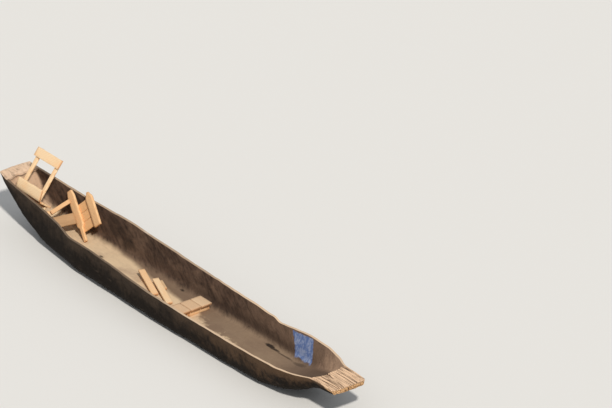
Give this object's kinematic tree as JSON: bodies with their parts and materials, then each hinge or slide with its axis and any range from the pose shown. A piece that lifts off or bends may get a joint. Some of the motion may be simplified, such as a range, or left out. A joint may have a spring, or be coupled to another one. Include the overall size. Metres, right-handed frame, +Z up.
{
  "type": "dugout canoe",
  "caption": "Long narrow canoe hollowed from one log, with flat jutting ends and loose low plank chairs inside that lift out.",
  "frame": {"origin": "middle of the flat bottom, on the surface that it stands on", "axes": "+X along the canoe to the end that lies on the bank, +Y across it to the far gunwale, +Z up"},
  "size_m": [6, 0.8, 0.9015],
  "materials": {
    "log_wood": "bare hewn log, weathered grey brown outside, dry and pale on the ends and the floor",
    "chair_wood": "bare sawn planks, fresh pale orange tan"
  },
  "bodies": {
    "canoe": {"hull": "log_wood"},
    "chair_1": {"chair_1_back_bar_left": "chair_wood", "chair_1_back_bar_right": "chair_wood", "chair_1_back_rail": "chair_wood", "chair_1_front_leg_left": "chair_wood", "chair_1_front_leg_right": "chair_wood", "chair_1_front_rail": "chair_wood", "chair_1_low_back_board": "chair_wood", "chair_1_seat_board_1": "chair_wood", "chair_1_seat_board_2": "chair_wood", "chair_1_seat_board_3": "chair_wood", "chair_1_side_rail_left": "chair_wood", "chair_1_side_rail_right": "chair_wood", "chair_1_top_board": "chair_wood"},
    "chair_2": {"chair_2_back_board_1": "chair_wood", "chair_2_back_board_2": "chair_wood", "chair_2_back_board_3": "chair_wood", "chair_2_corner_post": "chair_wood", "chair_2_cross_board": "chair_wood", "chair_2_cross_rail": "chair_wood", "chair_2_front_leg": "chair_wood", "chair_2_short_post": "chair_wood"},
    "chair_3": {"chair_3_block": "chair_wood", "chair_3_slat_1": "chair_wood", "chair_3_slat_2": "chair_wood"},
    "chair_4": {"chair_4_back_rail": "chair_wood", "chair_4_front_rail": "chair_wood", "chair_4_seat_board_1": "chair_wood", "chair_4_seat_board_2": "chair_wood", "chair_4_seat_board_3": "chair_wood", "chair_4_side_rail_left": "chair_wood", "chair_4_side_rail_right": "chair_wood"}
  },
  "joints": [
    {"name": "chair_1_lift", "type": "slide", "parent": "canoe", "child": "chair_1", "axis": [0, 0, 1], "range_m": [0, 0.6]},
    {"name": "chair_2_lift", "type": "slide", "parent": "canoe", "child": "chair_2", "axis": [0, 0, 1], "range_m": [0, 0.6]},
    {"name": "chair_3_lift", "type": "slide", "parent": "canoe", "child": "chair_3", "axis": [0, 0, 1], "range_m": [0, 0.6]},
    {"name": "chair_4_lift", "type": "slide", "parent": "canoe", "child": "chair_4", "axis": [0, 0, 1], "range_m": [0, 0.6]}
  ]
}
